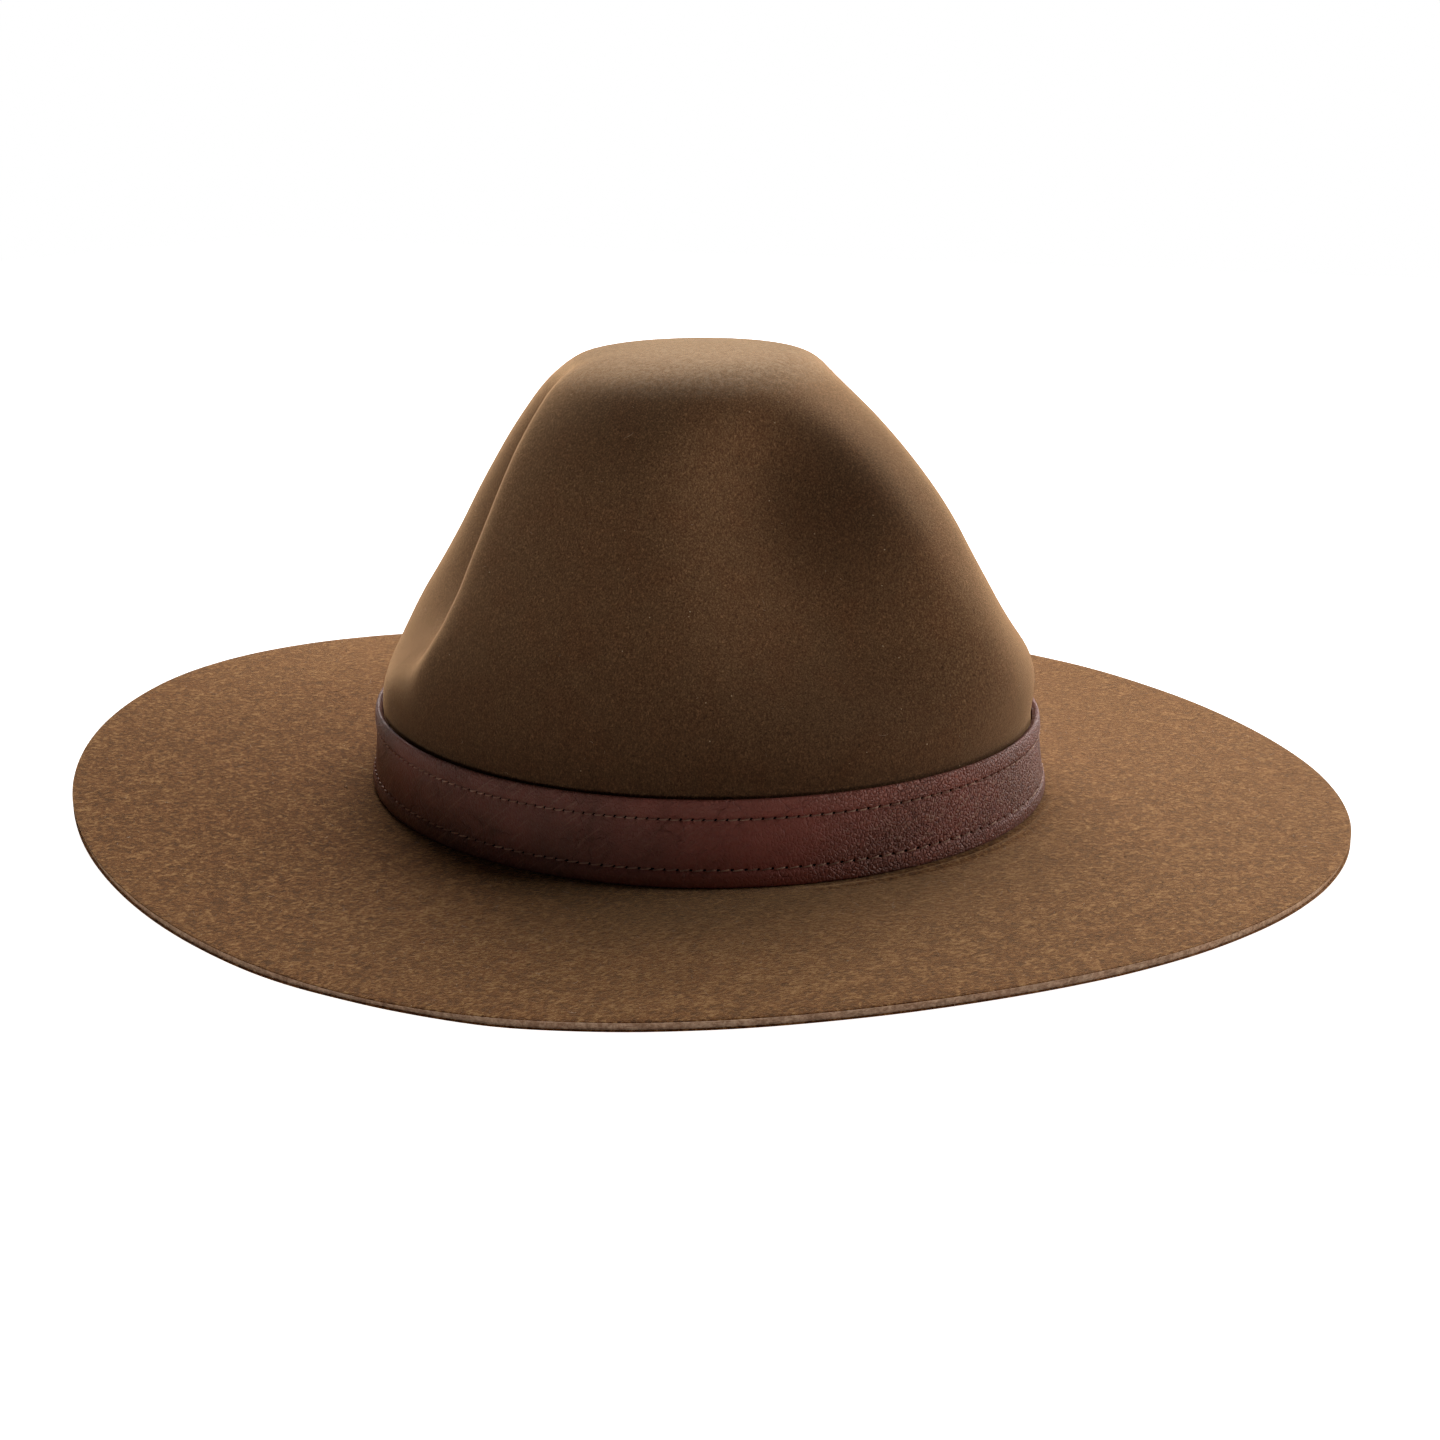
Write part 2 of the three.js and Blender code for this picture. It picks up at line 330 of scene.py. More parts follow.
def merged_copy(node, name):
    """A copy of a CAD node under a new name, its loose triangles merged into a skin of quads."""
    piece = bpy.data.objects.new(name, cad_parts[node].data.copy())
    bpy.context.scene.collection.objects.link(piece)
    piece.data.name = name
    piece.data.materials.clear()
    only(piece)
    bpy.ops.mesh.customdata_custom_splitnormals_clear()
    bpy.ops.object.mode_set(mode="EDIT")
    bpy.ops.mesh.select_all(action="SELECT")
    bpy.ops.mesh.remove_doubles(threshold=MERGE_GAP)
    bpy.ops.mesh.tris_convert_to_quads(
        face_threshold=math.pi, shape_threshold=math.pi, topology_influence=QUAD_REGULARITY
    )
    bpy.ops.mesh.faces_shade_smooth()
    leave()
    return piece


def smooth_through(piece, levels):
    """Subdivides the skin. Its corners first move out, so that the smooth skin still meets them."""
    wanted = values(piece.data, "vertices", "co", 3)
    cage = wanted.copy()
    for _ in range(SMOOTHING_TRIES):
        trial = bpy.data.objects.new("trial", piece.data.copy())
        bpy.context.scene.collection.objects.link(trial)
        apply_modifier(trial, "SUBSURF", levels=levels, render_levels=levels)
        reached = values(trial.data, "vertices", "co", 3)[:len(wanted)]
        cage += wanted - reached
        bpy.data.objects.remove(trial)
        piece.data.vertices.foreach_set("co", cage.ravel())
        piece.data.update()
    apply_modifier(piece, "SUBSURF", levels=levels, render_levels=levels)


def make_rod(sides, radius, length):
    """A rod along X with its middle at the origin, cut into even lengths."""
    bpy.ops.object.select_all(action="DESELECT")
    bpy.ops.mesh.primitive_cylinder_add(vertices=sides, radius=radius, depth=length,
                                        end_fill_type="TRIFAN", rotation=(0, math.pi / 2, 0))
    rod = bpy.context.object
    bpy.ops.object.transform_apply(location=True, rotation=True, scale=True)
    points = values(rod.data, "vertices", "co", 3)
    ends = values(rod.data, "edges", "vertices", 2, np.int32)
    choose(rod, "edges", np.abs(points[ends[:, 0], 0] - points[ends[:, 1], 0]) > length / 2)
    bpy.ops.mesh.subdivide(number_cuts=ROD_CUTS)
    leave()
    return rod


def join_copies(copies, name, material):
    """Joins copies into one piece of this name and material."""
    only(copies[0])
    for copy in copies:
        copy.select_set(True)
    bpy.ops.object.join()
    piece = bpy.context.object
    piece.name = piece.data.name = name
    piece.data.materials.clear()
    piece.data.materials.append(material)
    return piece


def finish_piece(piece, slot, *nodes):
    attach(piece, "root")
    if nodes:
        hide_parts(*nodes)


# Nodes of the materials

def linear(hex_colour):
    """sRGB hex to the linear colour that a socket takes."""
    parts = [int(hex_colour[i:i + 2], 16) / 255 for i in (1, 3, 5)]
    low = [p / 12.92 for p in parts]
    high = [((p + 0.055) / 1.055) ** 2.4 for p in parts]
    return [a if p <= 0.04045 else b for p, a, b in zip(parts, low, high)] + [1.0]


def add(tree, kind, settings=None, inputs=None, stops=()):
    """Adds a node with its settings; each input is a number, a colour or an output to link from."""
    node = tree.nodes.new(kind)
    for name, value in (settings or {}).items():
        setattr(node, name, value)
    for name, value in (inputs or {}).items():
        if isinstance(value, bpy.types.NodeSocket):
            tree.links.new(value, node.inputs[name])
        else:
            node.inputs[name].default_value = value
    for index, (position, colour) in enumerate(stops):
        elements = node.color_ramp.elements
        stop = elements[index] if index < 2 else elements.new(position)
        stop.position = position
        stop.color = colour
    return node


def noise(tree, vector, size, detail, roughness=0.5, distortion=0.0):
    """Soft noise with features of this size."""
    return add(tree, "ShaderNodeTexNoise", None,
               {"Vector": vector, "Scale": 1 / size, "Detail": detail, "Roughness": roughness,
                "Distortion": distortion}).outputs["Fac"]


def wander(tree, place, size, reach, detail=2.0, roughness=0.5):
    """The place, pushed about by noise of this size, so that a pattern read there curls."""
    push = add(tree, "ShaderNodeTexNoise", None,
               {"Vector": place, "Scale": 1 / size, "Detail": detail, "Roughness": roughness})
    return add(tree, "ShaderNodeVectorMath", {"operation": "MULTIPLY_ADD"},
               {0: push.outputs["Color"], 1: (reach,) * 3, 2: place}).outputs["Vector"]


def stretched(tree, vector, sizes, degrees):
    """A place measured in these sizes, turned by some degrees, for a noise of size 1."""
    return add(tree, "ShaderNodeMapping", {"vector_type": "TEXTURE"},
               {"Vector": vector, "Rotation": (0, 0, math.radians(degrees)),
                "Scale": sizes}).outputs["Vector"]


def cell_edges(tree, vector, size):
    """Distance from the nearest edge between cells of this size."""
    return add(tree, "ShaderNodeTexVoronoi", {"feature": "DISTANCE_TO_EDGE"},
               {"Vector": vector, "Scale": 1 / size}).outputs["Distance"]


def fade(tree, value, start, end, low=0.0, high=1.0, **settings):
    """Low where the value is at its start, high where it is at its end."""
    return add(tree, "ShaderNodeMapRange", settings,
               {"Value": value, "From Min": start, "From Max": end, "To Min": low,
                "To Max": high}).outputs["Result"]


def calc(tree, operation, *terms):
    return add(tree, "ShaderNodeMath", {"operation": operation}, dict(enumerate(terms))).outputs[0]


def mix(tree, share, first, second):
    """Mixes two values."""
    return add(tree, "ShaderNodeMix", {"data_type": "FLOAT"},
               {0: share, 2: first, 3: second}).outputs[0]


def tint(tree, share, colour, other, blend="MIX"):
    """Mixes a colour with another one, which is hex or an output."""
    if isinstance(other, str):
        other = linear(other)
    return add(tree, "ShaderNodeMix", {"data_type": "RGBA", "blend_type": blend},
               {0: share, 6: colour, 7: other}).outputs[2]


def ramp(tree, value, first, *between_and_last):
    """Colours by a value, from stops of a position and a hex colour."""
    *between, last = between_and_last
    stops = [(position, linear(colour)) for position, colour in (first, last, *between)]
    return add(tree, "ShaderNodeValToRGB", None, {"Fac": value}, stops).outputs["Color"]


def bump(tree, height, strength, distance):
    return add(tree, "ShaderNodeBump", None,
               {"Height": height, "Strength": strength, "Distance": distance}).outputs["Normal"]


def object_place(tree):
    return add(tree, "ShaderNodeTexCoord").outputs["Object"]


def start_material(name):
    """A new material, and its node tree, which is empty."""
    material = bpy.data.materials.new(name)
    material.use_nodes = True
    material.node_tree.nodes.clear()
    return material, material.node_tree


def end_material(tree, inputs):
    """Adds the surface, a principled shader with these inputs."""
    shader = add(tree, "ShaderNodeBsdfPrincipled", None, inputs)
    add(tree, "ShaderNodeOutputMaterial", None, {"Surface": shader.outputs["BSDF"]})


# Wool felt

def felt_pile(tree, place, on_brim):
    """How high the matted wool stands, and the brim's tufts by themselves."""
    curled = wander(tree, place, CURL_SIZE, CURL_REACH, roughness=0.6)
    strands = {}
    for lay, (sizes, degrees) in STRANDS.items():
        strands[lay] = noise(tree, stretched(tree, curled, sizes, degrees), 1, 3.0, 0.65)
    laid = calc(tree, "MAXIMUM", strands["across"], strands["over"])
    crown_tufts = noise(tree, curled, CROWN_TUFT, 4.0, 0.7)
    brim_tufts = noise(tree, curled, BRIM_TUFT, 4.0, 0.7)
    drift = noise(tree, curled, DRIFT_SIZE, 2.0, 0.6)
    crown_pile = mix(tree, 0.6, strands["hung"], crown_tufts)
    brim_pile = mix(tree, 0.13, mix(tree, 0.5, laid, brim_tufts), drift)
    brim_pile = fade(tree, brim_pile, 0.45, 0.59, 0.29, 0.67, clamp=False)
    return mix(tree, on_brim, crown_pile, brim_pile), brim_tufts


def felt_colour_and_painted_light(tree, colour, place, height, on_brim, tufts):
    """The felt's colour: redder dye patches, darker towards the crown's foot, painted shade in the
    front dents and painted light on the flat top.
    """
    # slow patches where the dye took redder
    patches = noise(tree, place, PATCH_SIZE, 3.0, 0.6, 0.6)
    warm = fade(tree, patches, 0.42, 0.68, high=0.18)
    colour = tint(tree, warm, colour, "#f0b99e", "MULTIPLY")

    # the crown is darker towards its foot
    foot = fade(tree, height, FOOT_DARK_FROM, FOOT_DARK_TO, high=0.5)
    foot = calc(tree, "MULTIPLY", foot, calc(tree, "SUBTRACT", 1.0, on_brim))
    colour = tint(tree, foot, colour, "#8f8680", "MULTIPLY")

    # painted shade: the two front dents are darkened where shade falls in them
    off = add(tree, "ShaderNodeVectorMath", {"operation": "SUBTRACT"},
              {0: place, 1: (CROWN_CENTRE.x, DENT_SHADE_AT.y, DENT_SHADE_AT.z)}).outputs["Vector"]
    both = add(tree, "ShaderNodeVectorMath", {"operation": "ABSOLUTE"}, {0: off}).outputs["Vector"]
    away = add(tree, "ShaderNodeVectorMath", {"operation": "DISTANCE"},
               {0: both, 1: (DENT_SHADE_AT.x, 0, 0)}).outputs["Value"]
    ragged = calc(tree, "MULTIPLY_ADD", patches, DENT_SHADE_RAGGED, away)
    dent_shade = fade(tree, ragged, DENT_SHADE_REACH, DENT_SHADE_CORE, high=0.7,
                 interpolation_type="SMOOTHSTEP")
    colour = tint(tree, dent_shade, colour, "#978d86", "MULTIPLY")

    # painted light: the flat top is painted paler where the light from above and behind falls on it
    ragged = calc(tree, "MULTIPLY_ADD", tufts, TOP_LIGHT_RAGGED, height)
    painted_top_light = fade(tree, ragged, TOP_LIGHT_FROM, TOP_LIGHT_TO, high=TOP_LIGHT_SHARE)
    return tint(tree, painted_top_light, colour, ramp(tree, tufts, (0.38, "#8d7a64"), (0.62, "#d3bea2")))


def felt_material(name, crown_shades, brim_shades, fleck, roughness):
    """Pressed wool felt: a matt mat of short fibres, mottled, with a pale bloom at a low angle.

    The brim, worn by hands and weather, has shades of its own.
    """
    material, tree = start_material(name)
    place = object_place(tree)
    height = add(tree, "ShaderNodeSeparateXYZ", None, {0: place}).outputs["Z"]
    on_brim = fade(tree, height, CROWN_ABOVE, BRIM_BELOW)
    pile, tufts = felt_pile(tree, place, on_brim)
    dyed = [ramp(tree, pile, (0.3, dark), (0.5, middle), (0.7, light))
            for dark, middle, light in (crown_shades, brim_shades)]
    colour = tint(tree, on_brim, *dyed)
    colour = felt_colour_and_painted_light(tree, colour, place, height, on_brim, tufts)

    # a few pale flecks of undyed wool
    flecks = add(tree, "ShaderNodeTexVoronoi", None,
                 {"Vector": place, "Scale": 1 / FLECK_SPACING}).outputs["Distance"]
    colour = tint(tree, calc(tree, "LESS_THAN", flecks, FLECK_SIZE), colour, fleck)

    # the pile stands up more on the brim, which is brushed less
    pile = calc(tree, "MULTIPLY", pile, fade(tree, on_brim, 0.0, 1.0, 1.0, BRIM_PILE))
    end_material(tree, {
        "Base Color": colour, "Roughness": roughness,
        "Normal": bump(tree, pile, 0.5, PILE_HEIGHT), "Specular IOR Level": 0.12,
        "Sheen Weight": 0.9, "Sheen Roughness": 0.38, "Sheen Tint": linear("#ffcc97")})
    return material


# Leather

def dye_leather(tree, flat, run, smudges):
    """Drum-dyed hide: broad patches, small dark smudges, and more red amid the right side."""
    patches = noise(tree, flat, DYE_SIZE, 3.0, 0.55)
    colour = ramp(tree, patches, (0.34, "#6f473c"), (0.5, "#824c40"), (0.66, "#945347"))
    dim = fade(tree, smudges, 0.55, 0.75, high=0.45)
    colour = tint(tree, dim, colour, "#3f2821")
    beside = calc(tree, "ABSOLUTE", calc(tree, "SUBTRACT", run, RED_AT))
    red = fade(tree, beside, RED_SPREAD, 0.0, high=0.4, interpolation_type="SMOOTHSTEP")
    return tint(tree, red, colour, "#a95347")


def grain_leather(tree, colour, stirred, run):
    """Pebbles of about 1 mm with valleys between them, coarser towards the hat's front; their tops
    are painted lighter than the valleys, as a painted highlight.
    """
    coarse = fade(tree, run, COARSE_FROM, COARSE_TO, low=0.3)
    grain = fade(tree, cell_edges(tree, stirred, PEBBLE_SIZE), 0.0, PEBBLE_VALLEY)
    grain = calc(tree, "MULTIPLY", grain, coarse)
    return tint(tree, calc(tree, "MULTIPLY", grain, 0.3), colour, "#9a6a5a"), grain


def wrinkle_leather(tree, colour, grain, flat, run, rise):
    """Short wrinkles, with painted highlight on their tops and painted shade between them.

    They lie between the two rows of stitches, where the leather is thin and not rolled over, and
    fade towards both sides of the hat.
    """
    slightly = wander(tree, flat, STIR_SIZE, WRINKLE_WANDER)
    wrinkles = noise(tree, stretched(tree, slightly, WRINKLE_SIZE, WRINKLE_LEAN), 1, 3.0, 0.6)
    rough = fade(tree, run, COARSE_FROM, COARSE_TO, low=0.12)
    rough = calc(tree, "MULTIPLY", rough, fade(tree, run, FINE_FROM, FINE_TO, 1.0, 0.25))
    off_middle = calc(tree, "ABSOLUTE", calc(tree, "SUBTRACT", rise, FIELD_MIDDLE))
    between = fade(tree, off_middle, FIELD_HALF, FIELD_HALF - FIELD_BLEND, low=0.2)
    rough = calc(tree, "MULTIPLY", rough, between)
    for start, end, share, shade in WRINKLE_LIGHT_AND_SHADE:
        painted_light_and_shade = fade(tree, wrinkles, start, end, high=share)
        colour = tint(tree, calc(tree, "MULTIPLY", painted_light_and_shade, rough), colour, shade)
    wrinkled = calc(tree, "MULTIPLY", wrinkles, rough)
    return colour, calc(tree, "MULTIPLY_ADD", wrinkled, 2.0, grain)


def crease_leather(tree, flat):
    """Creases: thin valleys round cells, only in some places."""
    folded = wander(tree, flat, CREASE_BEND, CREASE_WANDER, detail=4.0)
    crease = fade(tree, cell_edges(tree, folded, CREASE_SIZE), 0.0, CREASE_WIDTH, 1.0, 0.0)
    there = fade(tree, noise(tree, flat, CREASED_AREA, 1.0), 0.48, 0.6)
    return calc(tree, "MULTIPLY", crease, there)


def scuff_leather(tree, colour, stirred, run):
    """Thin pale leaning lines in short runs, and a greyer, darker colour, towards the right side's
    back.
    """
    lines = noise(tree, stretched(tree, stirred, SCUFF_SIZE, SCUFF_LEAN), 1, 1.0)
    towards_back = fade(tree, run, SCUFF_TO, SCUFF_FROM)
    scuff = calc(tree, "MULTIPLY", fade(tree, lines, 0.61, 0.67), towards_back)
    colour = tint(tree, calc(tree, "MULTIPLY", scuff, 0.55), colour, "#a57765")
    return tint(tree, calc(tree, "MULTIPLY", towards_back, 0.35), colour, "#5c453d")


def leather_material(name):
    """Drum-dyed, waxed cowhide: dark red-brown, a fine pebbled grain, scuffs and small creases."""
    material, tree = start_material(name)
    flat = add(tree, "ShaderNodeUVMap", {"uv_map": "band_flat"}).outputs["UV"]
    spot = add(tree, "ShaderNodeSeparateXYZ", None, {0: flat})
    run, rise = spot.outputs["X"], spot.outputs["Y"]
    stirred = wander(tree, flat, STIR_SIZE, PEBBLE_WANDER)
    smudges = noise(tree, flat, SMUDGE_SIZE, 4.0, 0.6, 0.8)
    colour = dye_leather(tree, flat, run, smudges)
    colour, grain = grain_leather(tree, colour, stirred, run)
    colour, grain = wrinkle_leather(tree, colour, grain, flat, run, rise)
    colour = scuff_leather(tree, colour, stirred, run)
    height = calc(tree, "MULTIPLY_ADD", crease_leather(tree, flat), -0.7, grain)
    end_material(tree, {
        "Base Color": colour, "Roughness": fade(tree, smudges, 0.3, 0.7, 0.38, 0.52),
        "Normal": bump(tree, height, 1.0, GRAIN_DEPTH), "IOR": 1.5,
        "Specular IOR Level": 0.45, "Specular Tint": linear("#fae3d6")})
    return material


def hole_material(name):
    """Painted shade at the bottom of a needle hole: matt and nearly black."""
    material, tree = start_material(name)
    fuzz = noise(tree, object_place(tree), HOLE_SHADE_FUZZ_SIZE, 2.0)
    end_material(tree, {
        "Base Color": ramp(tree, fuzz, (0.35, "#140a08"), (0.65, "#2a1712")),
        "Roughness": 0.9, "Specular IOR Level": 0.1})
    return material


# Thread and loose fibres

def thread_material(name):
    """Waxed polyester thread, two-ply: a little lighter than the leather, with a soft shine."""
    material, tree = start_material(name)
    place = object_place(tree)
    wear = noise(tree, place, THREAD_WEAR_SIZE, 2.0)
    ply = noise(tree, place, PLY_SIZE, 1.0)
    end_material(tree, {
        "Base Color": ramp(tree, wear, (0.35, "#8a6253"), (0.65, "#c79f88")),
        "Roughness": 0.55, "Normal": bump(tree, ply, 0.4, PLY_DEPTH),
        "Specular IOR Level": 0.4})
    return material


def fibre_material(name):
    """Loose wool fibre: undyed tips, pale and soft."""
    material, tree = start_material(name)
    dye = noise(tree, object_place(tree), FIBRE_DYE_SIZE, 1.0)
    end_material(tree, {
        "Base Color": ramp(tree, dye, (0.4, "#8a684c"), (0.62, "#c9ab8c")),
        "Roughness": 0.8, "Specular IOR Level": 0.2, "Sheen Weight": 0.3})
    return material


# Felt body

def round_crown(points):
    """For points of the felt: degrees from the front, rise, way outwards, and distance out.

    The rise is a share of the crown's height.
    """
    out = points[:, :2] - np.array(CROWN_CENTRE)[:2]
    distance = np.linalg.norm(out, axis=1)
    degrees = np.degrees(np.arctan2(out[:, 0], -out[:, 1]))
    rise = (points[:, 2] - CROWN_CENTRE.z) / CROWN_HEIGHT
    return degrees, rise, out / distance[:, None], distance


def ease(value, start, end):
    """0 at start, 1 at end, smooth between."""
    share = np.clip((value - start) / (end - start), 0, 1)
    return share * share * (3 - 2 * share)


def bell(away):
    """1 where away is 0, falling softly to 0 on both sides."""
    return np.exp(-away ** 2)


def past_lip(degrees, rise):
    """Degrees from the line of the rear right dent's lip."""
    rises, places = zip(*LIP_LINE)
    return degrees - np.interp(rise, rises, places)


def beside_band(points):
    """For points of the felt: way beyond the roll's line, and how high the roll stands there."""
    low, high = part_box("hat_band")
    degrees, _, out, distance = round_crown(points)
    across, along = (high.x - low.x) / 2 + ROLL_GAP, (high.y - low.y) / 2 + ROLL_GAP
    away = distance - 1 / np.hypot(out[:, 0] / across, out[:, 1] / along)
    return away, np.clip(1 - ((degrees - ROLL_AT) / ROLL_SPREAD) ** 2, 0, 1)


def refine_folds(piece):
    """Makes the skin finer at the lip of the rear right dent, and at the roll beside the band."""
    degrees, rise, _, _ = round_crown(values(piece.data, "polygons", "center", 3))
    at_lip = np.abs(past_lip(degrees, rise) - LIP_FINE_MIDDLE) < LIP_FINE_HALF
    choose(piece, "polygons", at_lip & (rise > LIP_FINE_RISE[0]) & (rise < LIP_FINE_RISE[1]))
    bpy.ops.mesh.subdivide(number_cuts=1, smoothness=1.0)
    leave()
    away, span = beside_band(values(piece.data, "polygons", "center", 3))
    upper = values(piece.data, "polygons", "normal", 3)[:, 2] > FACING_UP
    choose(piece, "polygons", (np.abs(away) < ROLL_FINE * ROLL_WIDTH) & (span > 0) & upper)
    bpy.ops.mesh.subdivide(number_cuts=ROLL_CUTS, smoothness=0.0)
    leave()


def press_folds(piece):
    """Sharpens the lip of the rear right dent, and raises the roll of felt beside the band."""
    refine_folds(piece)
    points = values(piece.data, "vertices", "co", 3)
    degrees, rise, out, _ = round_crown(points)
    turn = past_lip(degrees, rise)
    there = ease(rise, *LIP_FADE_IN) * ease(rise, *LIP_FADE_OUT)
    push = -LIP_PRESSED * bell(turn / LIP_WIDTH)
    push -= GROOVE_DEPTH * bell((turn + GROOVE_BEHIND) / GROOVE_WIDTH)
    knee = np.exp(-((degrees - KNEE_AT) / KNEE_WIDTH) ** 2 - ((rise - KNEE_RISE) / KNEE_TALL) ** 2)
    points[:, :2] += out * (push * there + KNEE_PROUD * knee)[:, None]

    # the roll of felt stands on the brim's upper face
    away, span = beside_band(points)
    roll = bell(away / ROLL_WIDTH) - DIP_SHARE * bell(away / ROLL_WIDTH + DIP_BEHIND)
    brim = points[:, 2] < CROWN_CENTRE.z + BRIM_TOP
    points[:, 2] += ROLL_HEIGHT * roll * span * brim
    points[:, 2] = np.maximum(points[:, 2], 0)
    piece.data.vertices.foreach_set("co", points.ravel())
    piece.data.update()


def share_of_outline(points):
    """1 on the brim's outline, smaller inside it."""
    low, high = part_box("felt_body")
    centre = (low + high) / 2
    across = (points[:, 0] - centre.x) / (high.x - centre.x)
    along = (points[:, 1] - centre.y) / (high.y - centre.y)
    return np.hypot(across, along)


def crease_cut_edge(piece):
    """The cut edge keeps its corners when the skin is smoothed."""
    points = values(piece.data, "vertices", "co", 3)
    corner = share_of_outline(points) > CORNER_START
    ends = values(piece.data, "edges", "vertices", 2, np.int32)
    run = points[ends[:, 0]] - points[ends[:, 1]]
    level = np.abs(run[:, 2]) < CORNER_SLOPE * np.linalg.norm(run[:, :2], axis=1)
    choose(piece, "edges", corner[ends].all(1) & level)
    bpy.ops.transform.edge_crease(value=CUT_EDGE_CREASE)
    leave()


def make_felt():
    piece = merged_copy("felt_body", "wool_felt_body")
    crease_cut_edge(piece)
    smooth_through(piece, FELT_LEVELS)

    # hand-blocked felt is never quite even
    clouds = bpy.data.textures.new("felt_unevenness", "CLOUDS")
    clouds.noise_scale = UNEVEN_SIZE
    apply_modifier(piece, "DISPLACE", texture=clouds, strength=FELT_UNEVENNESS,
                   mid_level=0.5, texture_coords="LOCAL")
    press_folds(piece)

    piece.data.materials.append(felt_material(
        "pressed wool felt, brown", CROWN_SHADES, BRIM_SHADES, "#c9ab88", 0.95))
    piece.data.materials.append(felt_material(
        "cut edge of wool felt, with painted light under it", EDGE_SHADES, EDGE_SHADES, "#b79f88", 1.0))
    facing_up = values(piece.data, "polygons", "normal", 3)[:, 2]
    rim = share_of_outline(values(piece.data, "polygons", "center", 3))
    cut = (rim > CUT_EDGE_START) & (np.abs(facing_up) < CUT_EDGE_STEEP)
    # the rounded corner under the cut edge gets the pale edge felt as painted light, where it is in
    # shade
    cut |= (rim > CUT_EDGE_PAINTED_UNDER) & (facing_up < 0)
    piece.data.polygons.foreach_set("material_index", cut.astype(np.int32))
    finish_piece(piece, "brown_felt", "felt_body")
    return piece


# Leather band

def round_band(points):
    """For points of the band: angle from the hat's front, and heights of both edges there."""
    low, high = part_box("hat_band")
    middle = (low + high) / 2
    angle = np.arctan2(points[:, 0] - middle.x, -(points[:, 1] - middle.y))
    slot = np.floor((angle / TURN + 0.5) * BAND_BINS).astype(int) % BAND_BINS
    bottom = np.array([points[slot == b, 2].min() for b in range(BAND_BINS)])
    top = np.array([points[slot == b, 2].max() for b in range(BAND_BINS)])
    centres = (np.arange(BAND_BINS) + 0.5) / BAND_BINS * TURN - math.pi
    bottom = np.interp(angle, centres, bottom, period=TURN)
    top = np.interp(angle, centres, top, period=TURN)
    return angle, bottom, top


def cut_facets(piece):
    """Cuts more facets round the band, so that each stitch hole has faces of its own."""
    points = values(piece.data, "vertices", "co", 3)
    ends = values(piece.data, "edges", "vertices", 2, np.int32)
    angle = round_band(points)[0]
    turn = np.abs((angle[ends[:, 0]] - angle[ends[:, 1]] + math.pi) % TURN - math.pi)
    choose(piece, "edges", turn > COLUMN)
    bpy.ops.mesh.subdivide(number_cuts=CUTS_PER_FACET)
    leave()


def punch_holes(piece):
    """Presses small pits in two rows for the stitches, with painted shade as the holes' own
    material.
    """
    centres = values(piece.data, "polygons", "center", 3)
    normals = values(piece.data, "polygons", "normal", 3)
    angle, bottom, top = round_band(centres)
    share = (centres[:, 2] - bottom) / (top - bottom)
    outward = normals[:, 0] * np.sin(angle) - normals[:, 1] * np.cos(angle)
    holes = np.zeros(len(angle), bool)
    for row, stitches in ((UPPER_ROW, UPPER_STITCHES), (LOWER_ROW, LOWER_STITCHES)):
        pitch = TURN / stitches
        phase = (angle + math.pi - COLUMN) / pitch
        near_hole = np.abs(phase - np.round(phase)) * pitch < HOLE_REACH * COLUMN
        holes |= near_hole & (np.abs(share - row) < ROW_HALF_WIDTH)
    choose(piece, "polygons", holes & (outward > FACING_OUT))
    bpy.ops.mesh.inset(thickness=HOLE_INSET, depth=-HOLE_DEPTH, use_individual=False)
    piece.active_material_index = 1
    bpy.ops.object.material_slot_assign()
    leave()


def map_flat(piece):
    """Flat map of the leather: run round the band, and height above its lower edge."""
    points = values(piece.data, "vertices", "co", 3)
    corners = values(piece.data, "loops", "vertex_index", 1, np.int32)
    faces = values(piece.data, "polygons", "loop_total", 1, np.int32)
    angle, bottom, _ = round_band(points)
    at = angle[corners]
    first = np.repeat(at[np.cumsum(faces) - faces], faces)
    at = first + (at - first + math.pi) % TURN - math.pi
    height = (points[:, 2] - bottom)[corners]
    flat = piece.data.uv_layers.new(name="band_flat")
    flat.data.foreach_set("uv", np.stack([at * BAND_RADIUS, height], 1).ravel())


def make_band():
    piece = merged_copy("hat_band", "leather_hat_band")
    piece.data.materials.append(leather_material("waxed cowhide, dark red-brown"))
    piece.data.materials.append(hole_material("painted shade inside a needle hole"))
    smooth_through(piece, BAND_LEVELS)
    cut_facets(piece)
    punch_holes(piece)
    map_flat(piece)
    finish_piece(piece, "dark_leather", "hat_band")
    return piece


def make_stitch(stitches):
    """One stitch along X: a thread that rises from one hole and sinks into the next."""
    length = TURN * BAND_RADIUS / stitches * STITCH_SHARE
    stitch = make_rod(THREAD_SIDES, THREAD / 2, length)
    for place, rise, width in STITCH_SHAPE:
        points = values(stitch.data, "vertices", "co", 3)
        centre = (place * length, 0, 0)
        choose(stitch, "vertices", np.abs(points[:, 0] - centre[0]) < length * STITCH_RING)
        bpy.ops.transform.resize(value=(1, width, width), center_override=centre)
        bpy.ops.transform.translate(value=(0, 0, rise))
        leave()
    only(stitch)
    bpy.ops.object.shade_smooth()
    return stitch


